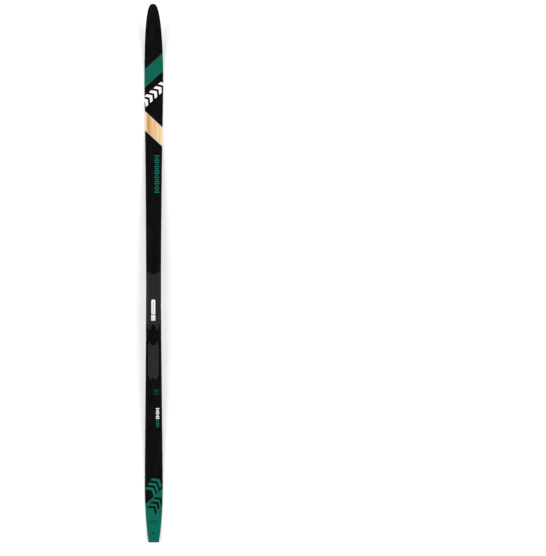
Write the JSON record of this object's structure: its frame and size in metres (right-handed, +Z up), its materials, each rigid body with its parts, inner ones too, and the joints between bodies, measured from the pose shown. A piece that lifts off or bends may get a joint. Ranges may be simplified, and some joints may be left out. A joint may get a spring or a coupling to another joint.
{
  "type": "cross country ski",
  "caption": "Cap-built cross country ski with a turned-up tip, cambered grooved base and a bonded binding plate in two parts.",
  "frame": {"origin": "centre of the ski's outline in X and Y, at floor level, which the two contact zones of the base touch", "axes": "+Y along the ski towards the turned-up tip, +X across to the right when the tip points away, +Z up from the base"},
  "size_m": [0.065, 1.85, 0.1028],
  "materials": {
    "base_plastic": "stone-ground sintered polyethylene",
    "glass_laminate": "cured glass fibre edge",
    "core_honeycomb": "resin-dipped honeycomb",
    "stringer_wood": "planed light wood",
    "spacer_plastic": "plain filler",
    "reinforcement_laminate": "phenolic sheet",
    "cap_fibre": "cured fibre with dark resin",
    "topsheet_print": "clear coated print",
    "guard_plastic": "moulded",
    "adhesive_film": "foam adhesive",
    "plate_plastic": "fine moulded texture",
    "label_white": "printed white film"
  },
  "bodies": {
    "root": {"running_base": "base_plastic", "base_laminate": "glass_laminate", "core_block": "core_honeycomb", "core_stringer_left": "stringer_wood", "core_stringer_right": "stringer_wood", "tip_spacer": "spacer_plastic", "tail_spacer": "spacer_plastic", "binding_reinforcement": "reinforcement_laminate", "cap_laminate": "cap_fibre", "topsheet": "topsheet_print", "tail_guard": "guard_plastic", "front_plate_bond": "adhesive_film", "rear_plate_bond": "adhesive_film", "front_plate": "plate_plastic", "rear_plate": "plate_plastic", "scale_label": "label_white", "size_label": "label_white"}
  },
  "joints": []
}
